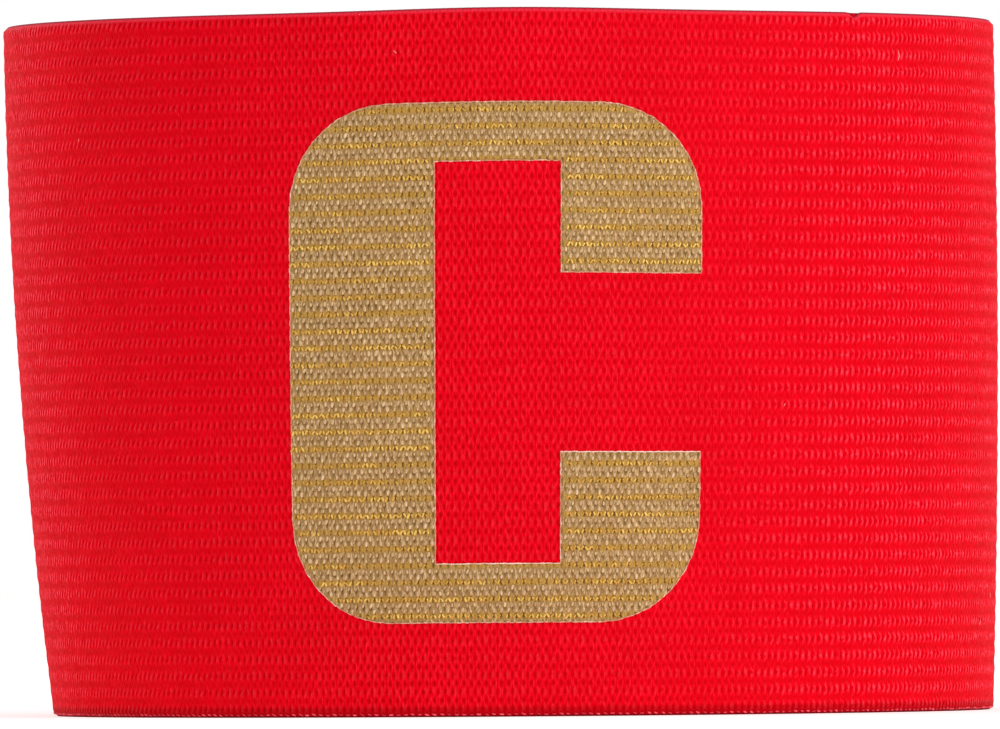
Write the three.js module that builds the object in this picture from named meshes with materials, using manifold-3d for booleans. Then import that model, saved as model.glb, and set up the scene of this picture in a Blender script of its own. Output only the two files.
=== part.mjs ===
// Captain's armband: a loop of ribbed woven elastic with a gold block letter woven into its front.
// It stands on its lower edge as a tube, a little wider at the top. Millimetres, +Z up, front towards -Y.

import * as THREE from "three";
import { mergeVertices } from "three/addons/utils/BufferGeometryUtils.js";
import Module from "manifold-3d";

// The woven strip
const BAND_WIDTH = 75; // across the ribs, which is the height as it stands
const WALL = 1.8; // from the rib crests to the inner face
const RIB_COUNT = 42;
const RIB_DEPTH = 0.25;
const EDGE_ROUND = 0.4; // how far the selvedges are rounded over

// The tube that the loop forms
const FOOT_DIAMETER = 101.9;
const TOP_DIAMETER = 107.4;
const TOP_SHIFT = -2.2; // the top's middle, sideways from the foot's
const LEFT_BULGE = 1.25; // each side's bow out from a straight line
const RIGHT_BULGE = 0.5;
const DEPTH_SHARE = 0.97; // front to back, as a share of side to side

// The sewn lap that closes the loop at the back
const LAP_LENGTH = 14;
const LAP_RAMP = 9; // where the outer end climbs on to the inner one
const LAP_GAP = 0.3;

// The block letter
const LETTER_HEIGHT = 55;
const LETTER_WIDTH = 44.7; // along the curved face
const LETTER_STEM = 16;
const LETTER_BAR = 6.2;
const LETTER_HOOK_WIDTH = 15.3;
const LETTER_HOOK_DROP = 18; // from the letter's top to the hook's end
const LETTER_CORNER = 11.1;
const LETTER_SHIFT = -1.4; // the letter's middle, sideways along the face
const LETTER_SINK = 1; // its recess, below the rib crests
const LETTER_PROUD = 0.15; // above the rib crests
const LETTER_GAP = 0.3; // under it and all round it
const LETTER_SPARE = 5; // how much wall is cut beyond it on each side

// How finely the curves are cut
const LOOP_STEPS = 44;
const RAMP_STEPS = 3;
const LAP_STEPS = 2;
const LETTER_STEPS = 10;
const CORNER_STEPS = 6;
const PLAIN_STEPS = 6; // up a face without ribs, which follows the tube's bow

const ELASTIC_RED = new THREE.MeshStandardMaterial({ color: 0xe30018, roughness: 0.8, metalness: 0 });
const WOVEN_GOLD = new THREE.MeshStandardMaterial({ color: 0xb29559, roughness: 0.6, metalness: 0.2 });

const wasm = await Module();
wasm.setup();

/** Where the tube's crest line runs at a height: its middle, half width and half depth. */
function tubeAt(height) {
  const share = height / BAND_WIDTH;
  const bow = 4 * share * (1 - share);
  const left = THREE.MathUtils.lerp(-FOOT_DIAMETER / 2, TOP_SHIFT - TOP_DIAMETER / 2, share) - LEFT_BULGE * bow;
  const right = THREE.MathUtils.lerp(FOOT_DIAMETER / 2, TOP_SHIFT + TOP_DIAMETER / 2, share) + RIGHT_BULGE * bow;
  const halfWidth = (right - left) / 2;
  return { middle: (left + right) / 2, halfWidth, halfDepth: halfWidth * DEPTH_SHARE };
}

/** A point of the tube: angle 0 is the front and grows towards +X, and proud is measured from the rib crests. */
function tubePoint(angle, height, proud) {
  const { middle, halfWidth, halfDepth } = tubeAt(height);
  return [middle + (halfWidth + proud) * Math.sin(angle), -(halfDepth + proud) * Math.cos(angle), height];
}

/** A closed mesh: a section of (proud, height) points, anticlockwise, carried round the tube from station to station. */
function bentStrip(stations, section) {
  const positions = stations.flatMap(({ angle, rise }) =>
    section.flatMap((point) => tubePoint(angle, point.y, point.x + rise)));
  const faces = [];
  const ring = section.length;
  for (let station = 0; station + 1 < stations.length; station++) {
    for (let k = 0; k < ring; k++) {
      const here = station * ring + k;
      const beside = station * ring + ((k + 1) % ring);
      faces.push(here, here + ring, beside + ring, here, beside + ring, beside);
    }
  }
  const last = (stations.length - 1) * ring;
  for (const [a, b, c] of THREE.ShapeUtils.triangulateShape(section, [])) {
    faces.push(a, b, c, last + c, last + b, last + a);
  }
  const geometry = new THREE.BufferGeometry();
  geometry.setAttribute("position", new THREE.Float32BufferAttribute(positions, 3));
  geometry.setIndex(faces);
  return geometry;
}

/** The ribbed face of the weave, from the foot up: a crest in the middle of each rib and a valley between ribs. */
function ribbedLine(proud, endDrop) {
  const pitch = BAND_WIDTH / RIB_COUNT;
  const line = [new THREE.Vector2(proud - endDrop, 0)];
  for (let rib = 0; rib < RIB_COUNT; rib++) {
    line.push(new THREE.Vector2(proud, (rib + 0.5) * pitch));
    line.push(new THREE.Vector2(proud - RIB_DEPTH, (rib + 1) * pitch));
  }
  line[line.length - 1].x = proud - endDrop;
  return line;
}

/** A face without ribs, from one height to another. */
function plainLine(proud, from, to) {
  return Array.from({ length: PLAIN_STEPS + 1 }, (_, k) =>
    new THREE.Vector2(proud, THREE.MathUtils.lerp(from, to, k / PLAIN_STEPS)));
}

/** The strip's section: ribs outside, a plain inner face, and rounded selvedges with a flat foot between them. */
function stripSection() {
  const inner = -WALL;
  return [
    new THREE.Vector2(inner + EDGE_ROUND / 2, 0),
    ...ribbedLine(0, EDGE_ROUND),
    new THREE.Vector2(inner + EDGE_ROUND / 2, BAND_WIDTH),
    ...plainLine(inner, BAND_WIDTH - EDGE_ROUND, EDGE_ROUND),
  ];
}

/** Evenly spaced stations from one angle to another, the first left out so that runs can be chained. */
function stationRun(from, to, steps, riseAt) {
  return Array.from({ length: steps }, (_, k) => {
    const share = (k + 1) / steps;
    return { angle: THREE.MathUtils.lerp(from, to, share), rise: riseAt(share) };
  });
}

/** The whole strip: once round the tube, up a ramp, and over its own first end for the length of the lap. */
function elasticBand() {
  const radius = FOOT_DIAMETER / 2;
  const lap = LAP_LENGTH / radius;
  const start = -Math.PI - lap / 2;
  const end = Math.PI + lap / 2;
  const rampEnd = end - lap;
  const rampStart = rampEnd - LAP_RAMP / radius;
  const climb = WALL + LAP_GAP;
  const stations = [
    { angle: start, rise: 0 },
    ...stationRun(start, rampStart, LOOP_STEPS, () => 0),
    ...stationRun(rampStart, rampEnd, RAMP_STEPS, (share) => climb * THREE.MathUtils.smoothstep(share, 0, 1)),
    ...stationRun(rampEnd, end, LAP_STEPS, () => climb),
  ];
  return bentStrip(stations, stripSection());
}

/** A piece of the front wall, wide enough for the letter, from a line of (proud, height) points in to a plain face. */
function frontWall(outerLine, innerProud) {
  const reach = (LETTER_WIDTH / 2 + Math.abs(LETTER_SHIFT) + LETTER_GAP + LETTER_SPARE) / (FOOT_DIAMETER / 2);
  const section = [...outerLine, ...plainLine(innerProud, BAND_WIDTH, 0)];
  const stations = [{ angle: -reach, rise: 0 }, ...stationRun(-reach, reach, LETTER_STEPS, () => 0)];
  return bentStrip(stations, section);
}

/** The block letter as woven, flat, with every edge moved out by grow. */
function letterOutline(grow) {
  const right = LETTER_WIDTH / 2 + grow;
  const top = LETTER_HEIGHT / 2 + grow;
  const corner = LETTER_CORNER + grow;
  const stemEdge = LETTER_STEM - LETTER_WIDTH / 2 + grow;
  const hookEdge = LETTER_WIDTH / 2 - LETTER_HOOK_WIDTH - grow;
  const hookEnd = LETTER_HEIGHT / 2 - LETTER_HOOK_DROP - grow;
  const barEdge = LETTER_HEIGHT / 2 - LETTER_BAR - grow;
  const outline = new THREE.Shape();
  outline.moveTo(right, hookEnd);
  outline.lineTo(right, top - corner);
  outline.absarc(right - corner, top - corner, corner, 0, Math.PI / 2);
  outline.absarc(corner - right, top - corner, corner, Math.PI / 2, Math.PI);
  outline.absarc(corner - right, corner - top, corner, Math.PI, 1.5 * Math.PI);
  outline.absarc(right - corner, corner - top, corner, 1.5 * Math.PI, 2 * Math.PI);
  outline.lineTo(right, -hookEnd);
  outline.lineTo(hookEdge, -hookEnd);
  outline.lineTo(hookEdge, -barEdge);
  outline.lineTo(stemEdge, -barEdge);
  outline.lineTo(stemEdge, barEdge);
  outline.lineTo(hookEdge, barEdge);
  outline.lineTo(hookEdge, hookEnd);
  return outline.getPoints(CORNER_STEPS);
}

/** A prism that cuts the letter out of the front wall: the outline wrapped on the tube and run out to the front. */
function letterPrism(grow) {
  const { middle, halfWidth } = tubeAt(BAND_WIDTH / 2);
  const wrapped = letterOutline(grow).map((point) => new THREE.Vector2(
    middle + halfWidth * Math.sin((point.x + LETTER_SHIFT) / halfWidth), point.y + BAND_WIDTH / 2));
  const geometry = new THREE.ExtrudeGeometry(new THREE.Shape(wrapped), { depth: TOP_DIAMETER, bevelEnabled: false });
  return geometry.rotateX(Math.PI / 2);
}

/** The solid of a closed geometry, with its shared corners merged. */
function toSolid(geometry) {
  const bare = new THREE.BufferGeometry();
  bare.setAttribute("position", geometry.getAttribute("position"));
  bare.setIndex(geometry.getIndex());
  const merged = mergeVertices(bare);
  return new wasm.Manifold(new wasm.Mesh({
    numProp: 3,
    vertProperties: new Float32Array(merged.getAttribute("position").array),
    triVerts: new Uint32Array(merged.getIndex().array),
  }));
}

/** The geometry of a solid. */
function toGeometry(solid) {
  const { vertProperties, triVerts } = solid.getMesh();
  const geometry = new THREE.BufferGeometry();
  geometry.setAttribute("position", new THREE.BufferAttribute(vertProperties, 3));
  geometry.setIndex(new THREE.BufferAttribute(triVerts, 1));
  geometry.computeVertexNormals();
  return geometry;
}

/** A named mesh of one material. */
function piece(name, solid, material) {
  const mesh = new THREE.Mesh(toGeometry(solid), material);
  mesh.name = name;
  return mesh;
}

/** The letter's recess in the band, a smooth floor cut down through the ribs. */
function letterRecess() {
  const cutter = frontWall(plainLine(WALL, 0, BAND_WIDTH), -LETTER_SINK);
  return toSolid(cutter).intersect(toSolid(letterPrism(LETTER_GAP)));
}

/** The letter itself, ribbed like the band round it. */
function letterInlay() {
  const wall = frontWall(ribbedLine(LETTER_PROUD, RIB_DEPTH), LETTER_GAP - LETTER_SINK);
  return toSolid(wall).intersect(toSolid(letterPrism(0)));
}

const armband = new THREE.Group();
armband.add(piece("elastic_band", toSolid(elasticBand()).subtract(letterRecess()), ELASTIC_RED));
armband.add(piece("captain_letter", letterInlay(), WOVEN_GOLD));

// The origin lies on the ground under the middle of the whole
const middle = new THREE.Box3().setFromObject(armband).getCenter(new THREE.Vector3());
armband.position.set(-middle.x, -middle.y, 0);

export default armband;
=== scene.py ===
"""A captain's armband: ribbed woven elastic sewn into a loop, with a gold block letter woven into its front.

Every piece is made flat, as the cloth is woven, in metres along the strip, up it and proud of its rib crests.
It is then laid on the ribs and wrapped round the tube that the loop forms when it is worn.
"""

import logging
import math
from collections.abc import Callable, Iterable
from dataclasses import asdict, dataclass, field, replace
from enum import Enum
from functools import partial

import bmesh
import bpy
import numpy as np
from mathutils import Euler, Matrix, Vector

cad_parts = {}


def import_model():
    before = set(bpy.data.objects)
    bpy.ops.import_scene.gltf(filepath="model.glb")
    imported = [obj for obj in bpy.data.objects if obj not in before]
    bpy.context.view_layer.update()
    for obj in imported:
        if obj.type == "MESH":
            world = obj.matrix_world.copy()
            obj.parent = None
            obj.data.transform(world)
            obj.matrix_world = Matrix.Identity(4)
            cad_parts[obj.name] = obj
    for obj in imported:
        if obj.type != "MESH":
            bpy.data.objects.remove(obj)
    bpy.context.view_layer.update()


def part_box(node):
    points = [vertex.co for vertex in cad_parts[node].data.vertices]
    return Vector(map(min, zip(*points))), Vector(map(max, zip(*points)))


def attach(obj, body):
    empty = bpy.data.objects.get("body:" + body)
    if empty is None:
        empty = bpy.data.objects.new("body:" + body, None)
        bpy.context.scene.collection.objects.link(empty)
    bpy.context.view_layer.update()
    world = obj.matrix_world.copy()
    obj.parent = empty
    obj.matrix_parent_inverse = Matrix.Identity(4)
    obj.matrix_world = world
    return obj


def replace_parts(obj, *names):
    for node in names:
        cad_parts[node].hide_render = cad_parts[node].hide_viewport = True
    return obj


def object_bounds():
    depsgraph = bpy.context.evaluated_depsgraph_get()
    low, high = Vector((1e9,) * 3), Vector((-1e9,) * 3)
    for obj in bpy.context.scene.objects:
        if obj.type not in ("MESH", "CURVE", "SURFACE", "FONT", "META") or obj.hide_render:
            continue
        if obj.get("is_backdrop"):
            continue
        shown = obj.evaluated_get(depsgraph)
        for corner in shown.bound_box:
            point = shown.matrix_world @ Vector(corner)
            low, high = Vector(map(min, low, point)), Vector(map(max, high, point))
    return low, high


log = logging.getLogger("armband")

AddNode = Callable[..., bpy.types.Node]

MM = 0.001
BODY = "root"
ELASTIC_SLOT = "woven_elastic"
GOLD_SLOT = "gold_yarn"

# The kinds of node that are used most. A share turns one range of numbers into another, or into 0 to 1.
MATH = "ShaderNodeMath"
VECTOR = "ShaderNodeVectorMath"
MIX = "ShaderNodeMix"
SHARE = "ShaderNodeMapRange"
NOISE = "ShaderNodeTexNoise"
NAMED = "GeometryNodeInputNamedAttribute"

# Where along the strip, in metres, the strands start to lean at the left, and where they lean in full
LEAN_REACH = (-0.026, -0.05)
# Where they have stopped leaning, farther round, and where they still lean in full
LEAN_END = (-0.099, -0.085)
# Where they start to bow at the right, and where they bow in full
BOW_REACH = (0.021, 0.045)


def linear(colour: str) -> tuple[float, float, float, float]:
    """Turns an sRGB hex colour into Blender's linear one.

    Args:
        colour: The colour as "#RRGGBB".

    Returns:
        Red, green, blue and an alpha of 1.
    """
    shares = [int(colour[k:k + 2], 16) / 255 for k in (1, 3, 5)]
    return (*(s / 12.92 if s <= 0.04045 else ((s + 0.055) / 1.055) ** 2.4 for s in shares), 1.0)


def feed(node: bpy.types.Node, inputs: dict | Iterable) -> None:
    """Sets or links a node's inputs.

    Args:
        node: The node.
        inputs: Its sockets in order, or by name or number, each with a value, an output, or a node whose
            first output feeds it.
    """
    for key, value in inputs.items() if isinstance(inputs, dict) else enumerate(inputs):
        source = value.outputs[0] if isinstance(value, bpy.types.Node) else value
        if isinstance(source, bpy.types.NodeSocket):
            node.id_data.links.new(source, node.inputs[key])
        else:
            node.inputs[key].default_value = source


def add_node(tree: bpy.types.NodeTree, kind: str, inputs: dict | Iterable = (),
             **settings: object) -> bpy.types.Node:
    """Adds a node to a shader or geometry tree, with its settings and links.

    Args:
        tree: The tree that gets the node.
        kind: The node's type, such as "ShaderNodeMath".
        inputs: What its sockets get, as feed takes it.
        settings: The node's own properties, such as operation.

    Returns:
        The new node.
    """
    node = tree.nodes.new(kind)
    for name, value in settings.items():
        setattr(node, name, value)
    feed(node, inputs)
    return node


def set_stops(ramp: bpy.types.Node, stops: list[tuple[float, tuple[float, ...]]]) -> bpy.types.Node:
    """Gives a new colour ramp its stops.

    Args:
        ramp: The ramp.
        stops: The place of each, from 0 to 1, and its colour with alpha.

    Returns:
        The same ramp.
    """
    elements = ramp.color_ramp.elements
    while len(elements) > 1:
        elements.remove(elements[-1])
    elements[0].position, elements[0].color = stops[0]
    for place, colour in stops[1:]:
        elements.new(place).color = colour
    return ramp


def start_material(name: str) -> tuple[bpy.types.Material, bpy.types.Node]:
    """Starts a material.

    Args:
        name: Its name.

    Returns:
        The material and its shader.
    """
    material = bpy.data.materials.new(name)
    material.use_nodes = True
    return material, material.node_tree.nodes["Principled BSDF"]


def start_tree(name: str, sizes: tuple[str, ...], counts: tuple[str, ...]) -> tuple[bpy.types.NodeTree, dict]:
    """Starts a Geometry Nodes tree that takes a geometry, named sizes and counts, and a yarn.

    Args:
        name: The tree's name.
        sizes: The names of the inputs that hold sizes.
        counts: The names of the inputs that hold whole numbers.

    Returns:
        The tree and the outputs that hold its inputs, by name.
    """
    tree = bpy.data.node_groups.new(name, "GeometryNodeTree")
    kinds = {"Geometry": "NodeSocketGeometry", **dict.fromkeys(sizes, "NodeSocketFloat"),
             **dict.fromkeys(counts, "NodeSocketInt"), "Yarn": "NodeSocketMaterial"}
    for label, kind in kinds.items():
        tree.interface.new_socket(label, in_out="INPUT", socket_type=kind)
    tree.interface.new_socket("Geometry", in_out="OUTPUT", socket_type="NodeSocketGeometry")
    given = add_node(tree, "NodeGroupInput").outputs
    return tree, {label: given[label] for label in kinds}


def end_tree(tree: bpy.types.NodeTree, geometry: bpy.types.Node,
             yarn: bpy.types.NodeSocket) -> bpy.types.NodeTree:
    """Ends a Geometry Nodes tree: instances made real, smooth faces, and the material.

    Args:
        tree: The tree.
        geometry: The node that gives what it has made.
        yarn: The output that holds the material.

    Returns:
        The same tree.
    """
    real = add_node(tree, "GeometryNodeRealizeInstances", {"Geometry": geometry})
    smooth = add_node(tree, "GeometryNodeSetShadeSmooth", {"Geometry": real})
    dressed = add_node(tree, "GeometryNodeSetMaterial", {"Geometry": smooth, "Material": yarn})
    add_node(tree, "NodeGroupOutput", {"Geometry": dressed})
    return tree


def bar_tree() -> bpy.types.NodeTree:
    """Builds the tree that lays one short bar of yarn on each point of the cloth, each a little different.

    Returns:
        The tree. Its points carry "lean" in radians, "shade", and "bar_size" as shares of the three sizes.
    """
    tree, given = start_tree(
        "yarn_bars", ("Width", "Length", "Thickness", "Lean Spread", "Size Spread", "Place Spread"),
        ("Sides", "Rings", "Seed"))
    node = partial(add_node, tree)

    def chance(step: int, low: object, high: object) -> bpy.types.NodeSocket:
        """A random number between two others, with a seed of its own."""
        seed = node(MATH, (given["Seed"], float(step)), operation="ADD")
        return node("FunctionNodeRandomValue", {2: low, 3: high, 8: seed}).outputs[1]

    def spread(name: str, step: int) -> bpy.types.NodeSocket:
        """A random number as far as the named input to either side of zero."""
        return chance(step, node(MATH, (given[name], -1.0), operation="MULTIPLY"), given[name])

    ball = node("GeometryNodeMeshUVSphere", (given["Sides"], given["Rings"], 0.5))
    bar = node("GeometryNodeTransform", {"Geometry": ball, "Rotation": Euler((-math.pi / 2, 0, 0))})
    stray = node("ShaderNodeCombineXYZ", [spread("Place Spread", step) for step in (1, 2, 3)])
    points = node("GeometryNodeSetPosition", {"Geometry": given["Geometry"], "Offset": stray})
    lean = node(NAMED, {"Name": "lean"}, data_type="FLOAT")
    turn = node("ShaderNodeCombineXYZ", {2: node(MATH, (lean, spread("Lean Spread", 4)), operation="ADD")})
    rotation = node("FunctionNodeEulerToRotation", (turn,))
    share = node(NAMED, {"Name": "bar_size"}, data_type="FLOAT_VECTOR")
    size = node("ShaderNodeCombineXYZ", (given["Width"], given["Length"], given["Thickness"]))
    sized = node(VECTOR, (size, share), operation="MULTIPLY")
    odd = node(MATH, (spread("Size Spread", 5), 1.0), operation="ADD")
    scale = node(VECTOR, {0: sized, 3: odd}, operation="SCALE")
    bars = node("GeometryNodeInstanceOnPoints", {
        "Points": points, "Instance": bar, "Rotation": rotation, "Scale": scale})
    shade = node(NAMED, {"Name": "shade"}, data_type="FLOAT")
    tone = node(MATH, (chance(6, 0.0, 1.0), shade), operation="ADD")
    toned = node("GeometryNodeStoreNamedAttribute", {"Geometry": bars, "Name": "tone", "Value": tone},
                 data_type="FLOAT", domain="INSTANCE")
    return end_tree(tree, toned, given["Yarn"])


def strip_tree() -> bpy.types.NodeTree:
    """Builds the tree that carries the cloth's section, with its ribs, along the whole strip.

    Returns:
        The tree. Its geometry is the section as a closed line of edges.
    """
    tree, given = start_tree("ribbed_strip", ("Start", "End"), ("Steps",))
    node = partial(add_node, tree)
    section = node("GeometryNodeMeshToCurve", {"Mesh": given["Geometry"]})
    start, end = (node("ShaderNodeCombineXYZ", (given[name],)) for name in ("Start", "End"))
    line = node("GeometryNodeCurvePrimitiveLine", {"Start": start, "End": end})
    path = node("GeometryNodeResampleCurve", {"Curve": line, "Count": given["Steps"]})
    strip = node("GeometryNodeCurveToMesh", {"Curve": path, "Profile Curve": section, "Fill Caps": True})
    return end_tree(tree, strip, given["Yarn"])


def net_tree() -> bpy.types.NodeTree:
    """Builds the tree that raises a flat sheet into upright strands of yarn, which swing and meet in a net.

    Returns:
        The tree. Its sheet has three lines of points to each strand: the gap beside it and its two shoulders.
    """
    tree, given = start_tree(
        "strand_net", ("Strand", "Row", "Swing", "Gap", "Meeting", "Valley", "Stray", "Bulge", "Even From",
                       "Even To", "Lean", "Bow"), ())
    node = partial(add_node, tree)
    # Points lie at whole strands and thirds between them, so less than a third keeps rounding out of the count
    rounding = 0.1
    gap_sharpness = 1.7
    stray_scale = 900.0
    along, up, _ = node("ShaderNodeSeparateXYZ", (node("GeometryNodeInputPosition"),)).outputs
    strands = node(MATH, (along, given["Strand"]), operation="DIVIDE")
    number = node(MATH, (node(MATH, (strands, rounding), operation="ADD"),), operation="FLOOR")
    beside = node(MATH, (strands, number), operation="SUBTRACT")
    shoulder = node(MATH, (beside, rounding), operation="GREATER_THAN")
    rows = node(MATH, (up, given["Row"]), operation="DIVIDE")
    turn = node(MATH, (rows, math.pi), operation="MULTIPLY")
    phase = node(MATH, (node(MATH, (rows, number), operation="SUBTRACT"), math.pi), operation="MULTIPLY")
    wave = node(MATH, (phase,), operation="COSINE")
    swung = node(MATH, (wave, given["Swing"]), operation="MULTIPLY")
    swing = node(MATH, (swung, shoulder), operation="MULTIPLY")
    # Minus 1 on the crests and 1 in the valleys, where the gaps close towards the middle of each side
    rib = node(MATH, (turn,), operation="COSINE")
    side = node(SHARE, (node(MATH, (along,), operation="ABSOLUTE"), given["Even From"], given["Even To"]))
    uneven = node(MATH, (side, given["Valley"]), operation="MULTIPLY")
    closed = node(MATH, (node(MATH, (rib, 1.0), operation="ADD"), uneven), operation="MULTIPLY")
    half_open = node(MATH, (wave, 0.5, 0.5), operation="MULTIPLY_ADD")
    opened = node(MATH, (half_open, gap_sharpness), operation="POWER")
    open_share = node(MATH, (opened, node(MATH, (1.0, closed), operation="SUBTRACT")), operation="MULTIPLY")
    depth = node(MATH, (open_share, given["Gap"], given["Meeting"]), operation="MULTIPLY_ADD")
    sunk = node(MATH, (depth, node(MATH, (shoulder, 1.0), operation="SUBTRACT")), operation="MULTIPLY")
    wander = node(NOISE, {"Scale": stray_scale, "Detail": 1.0})
    sway, bulge, _ = node("ShaderNodeSeparateXYZ", (wander.outputs["Color"],)).outputs
    aside = node(MATH, (node(MATH, (sway, 0.5), operation="SUBTRACT"), given["Stray"]), operation="MULTIPLY")
    swell = node(MATH, (node(MATH, (bulge, 0.5), operation="SUBTRACT"), given["Bulge"]), operation="MULTIPLY")
    start, end = (node(SHARE, (along, *reach)) for reach in (LEAN_REACH, LEAN_END))
    left = node(MATH, (start, end), operation="MULTIPLY")
    leaning = node(MATH, (node(MATH, (turn,), operation="SINE"), left), operation="MULTIPLY")
    bowing = node(MATH, (rib, node(SHARE, (along, *BOW_REACH))), operation="MULTIPLY")
    lean = node(MATH, (leaning, given["Lean"]), operation="MULTIPLY")
    bow = node(MATH, (bowing, given["Bow"]), operation="MULTIPLY")
    bent = node(MATH, (swing, node(MATH, (lean, bow), operation="ADD")), operation="SUBTRACT")
    moved = node(MATH, (aside, shoulder, bent), operation="MULTIPLY_ADD")
    offset = node("ShaderNodeCombineXYZ", {0: moved, 2: node(MATH, (sunk, swell), operation="ADD")})
    raised = node("GeometryNodeSetPosition", {"Geometry": given["Geometry"], "Offset": offset})
    return end_tree(tree, raised, given["Yarn"])


def carrier(points: np.ndarray, edges: list | None = None, faces: list | None = None,
            **attributes: np.ndarray) -> bpy.types.Mesh:
    """Makes the bare mesh that a Geometry Nodes tree starts from.

    Args:
        points: One row of (along, up, proud) for each point.
        edges: The lines between them, if there are any.
        faces: The faces between them, if there are any.
        attributes: Named values for each point, single or with three parts.

    Returns:
        The mesh.
    """
    mesh = bpy.data.meshes.new("carrier")
    mesh.from_pydata(points.tolist(), edges or [], faces or [])
    for name, values in attributes.items():
        part = "vector" if values.ndim == 2 else "value"
        kind = "FLOAT_VECTOR" if values.ndim == 2 else "FLOAT"
        mesh.attributes.new(name, kind, "POINT").data.foreach_set(part, values.astype(np.float32).ravel())
    return mesh


def grow(name: str, start: bpy.types.Mesh, tree: bpy.types.NodeTree,
         inputs: dict[str, object]) -> bpy.types.Mesh:
    """Runs a Geometry Nodes tree on a carrier and keeps what it makes as a plain mesh.

    Args:
        name: The mesh's name.
        start: The carrier.
        tree: The tree.
        inputs: What its named inputs get.

    Returns:
        The flat mesh, before it is laid and wrapped.
    """
    source = bpy.data.objects.new("source", start)
    bpy.context.scene.collection.objects.link(source)
    modifier = source.modifiers.new("nodes", "NODES")
    modifier.node_group = tree
    sockets = {item.name: item.identifier for item in tree.interface.items_tree if item.in_out == "INPUT"}
    for label, value in inputs.items():
        modifier[sockets[label]] = value
    made = bpy.data.meshes.new_from_object(source.evaluated_get(bpy.context.evaluated_depsgraph_get()))
    made.name = name
    bpy.data.objects.remove(source)
    return made


@dataclass(frozen=True)
class Loop:
    """The tube that the strip forms, in metres, after the sizes of the part's solids."""

    width: float = 0.075
    wall: float = 0.0018
    foot_diameter: float = 0.1019
    top_diameter: float = 0.1074
    top_shift: float = -0.0022
    left_bulge: float = 0.00105
    right_bulge: float = 0.0005
    depth_share: float = 0.97
    lap_length: float = 0.014
    lap_ramp: float = 0.009
    lap_gap: float = 0.00005
    # A small nick in the top edge, right of the letter
    nick_place: float = 0.041
    nick_width: float = 0.0006
    nick_depth: float = 0.0005
    nick_reach: float = 0.003
    # How the columns of yarn slant in front, and how far they keep apart where the tube narrows
    column_slant: float = 0.0075
    column_hold: float = 0.45
    # How far the top edge stands lower beside the middle, and how far from it that starts
    sag: float = 0.00038
    sag_reach: float = 0.0155
    centre: tuple[float, float] = (0.0, 0.0)

    @property
    def turn(self) -> float:
        """The flat length of once round the tube at mid-height."""
        return 2 * math.pi * self.radius

    @property
    def radius(self) -> float:
        """Half the tube's breadth at mid-height, by which flat lengths turn into angles."""
        return float(self.lines(self.width / 2)[1])

    @property
    def lap(self) -> float:
        """The flat length of the lap."""
        return self.lap_length / (self.foot_diameter / 2) * self.radius

    @property
    def ends(self) -> tuple[float, float]:
        """Where the strip starts and ends, measured along it from the middle of the front."""
        return -(self.turn + self.lap) / 2, (self.turn + self.lap) / 2

    def lines(self, up: np.ndarray | float) -> tuple[np.ndarray, np.ndarray]:
        """Finds the tube's middle and half its breadth at a height.

        Args:
            up: Heights above the foot.

        Returns:
            The middle and the half breadth at each height.
        """
        share = np.asarray(up) / self.width
        bow = 4 * share * (1 - share)
        top = self.top_diameter / 2
        foot = self.foot_diameter / 2
        left = (share - 1) * foot + share * (self.top_shift - top) - self.left_bulge * bow
        right = (1 - share) * foot + share * (self.top_shift + top) + self.right_bulge * bow
        return (left + right) / 2, (right - left) / 2

    def climb(self, along: np.ndarray) -> np.ndarray:
        """How far the strip has climbed on to its own first end, at each place along it."""
        ramp = self.lap_ramp / (self.foot_diameter / 2) * self.radius
        share = np.clip((along - (self.ends[1] - self.lap - ramp)) / ramp, 0, 1)
        return (self.wall + self.lap_gap) * share * share * (3 - 2 * share)

    def wrap(self, flat: np.ndarray) -> np.ndarray:
        """Wraps flat cloth round the tube.

        Args:
            flat: Rows of (along, up, proud).

        Returns:
            Rows of (x, y, z) in the part's frame.
        """
        along, up, proud = flat.T
        middle, half = self.lines(np.clip(up, 0, self.width))
        fair_middle, fair_half = self.lines(self.width / 2)
        angle = along / self.radius
        # In front the columns of yarn stay nearly upright, although the tube leans and widens
        drift = fair_middle - middle + self.column_hold * (fair_half - half) * np.sin(angle)
        drift += self.column_slant * (up - self.width / 2)
        angle = angle + drift / half * np.maximum(np.cos(angle), 0) * (1 + np.sin(angle) ** 2)
        rise = proud + self.climb(along)
        near_top = np.clip((up - self.width + self.nick_reach) / self.nick_reach, 0, 1)
        nick = self.nick_depth * np.exp(-((along - self.nick_place) / self.nick_width) ** 2) * near_top
        sag = self.sag * (1 - np.exp(-(along / self.sag_reach) ** 2)) * up / self.width
        x = middle + (half + rise) * np.sin(angle) + self.centre[0]
        y = -(half * self.depth_share + rise) * np.cos(angle) + self.centre[1]
        return np.column_stack([x, y, up - nick - sag])


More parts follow.
